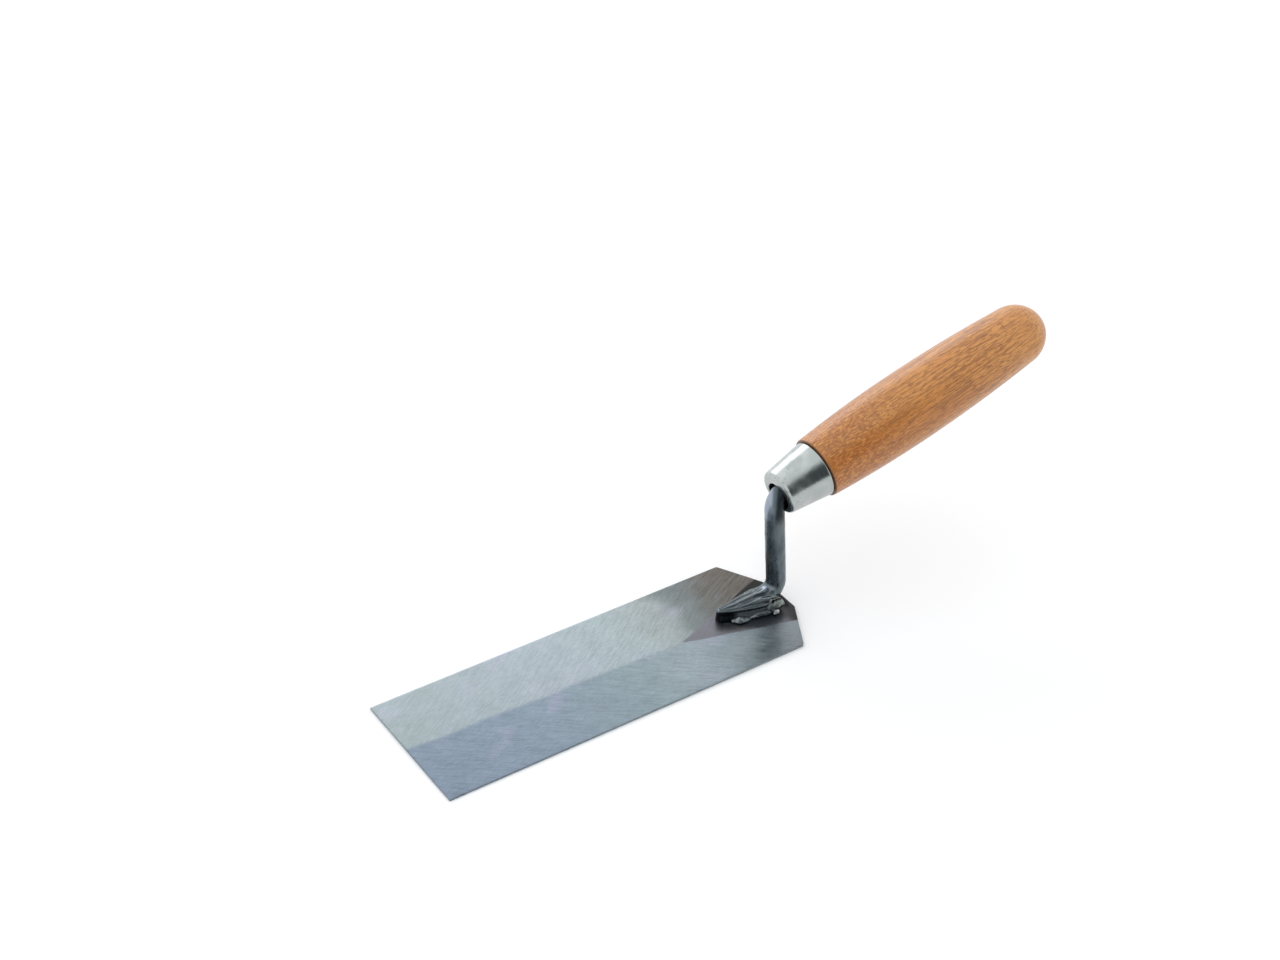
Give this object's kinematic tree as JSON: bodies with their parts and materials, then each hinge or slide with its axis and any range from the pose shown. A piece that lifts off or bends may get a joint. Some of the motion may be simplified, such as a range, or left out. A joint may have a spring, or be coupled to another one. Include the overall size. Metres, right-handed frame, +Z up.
{
  "type": "margin trowel",
  "caption": "Narrow flat plastering trowel: square-toed steel blade, cranked forged shank welded on near the heel, plated ferrule and turned wooden handle.",
  "frame": {"origin": "centre of the blade's flat underside, halfway between toe and heel", "axes": "+X towards the toe, along the blade; +Y across the blade; +Z up from the underside, to the handle's side"},
  "size_m": [0.257, 0.05, 0.0882],
  "materials": {
    "blade_steel": "ground, with heat tint and soot round the foot",
    "shank_steel": "forged, dark oxide, worn brighter on the edges",
    "weld_metal": "as laid, rippled and sooty",
    "ferrule_plate": "bright nickel plate",
    "handle_wood": "clear lacquer"
  },
  "bodies": {
    "root": {"blade": "blade_steel", "shank": "shank_steel", "near_toe_weld": "weld_metal", "near_heel_weld": "weld_metal", "far_weld": "weld_metal", "ferrule": "ferrule_plate", "handle": "handle_wood"}
  },
  "joints": []
}
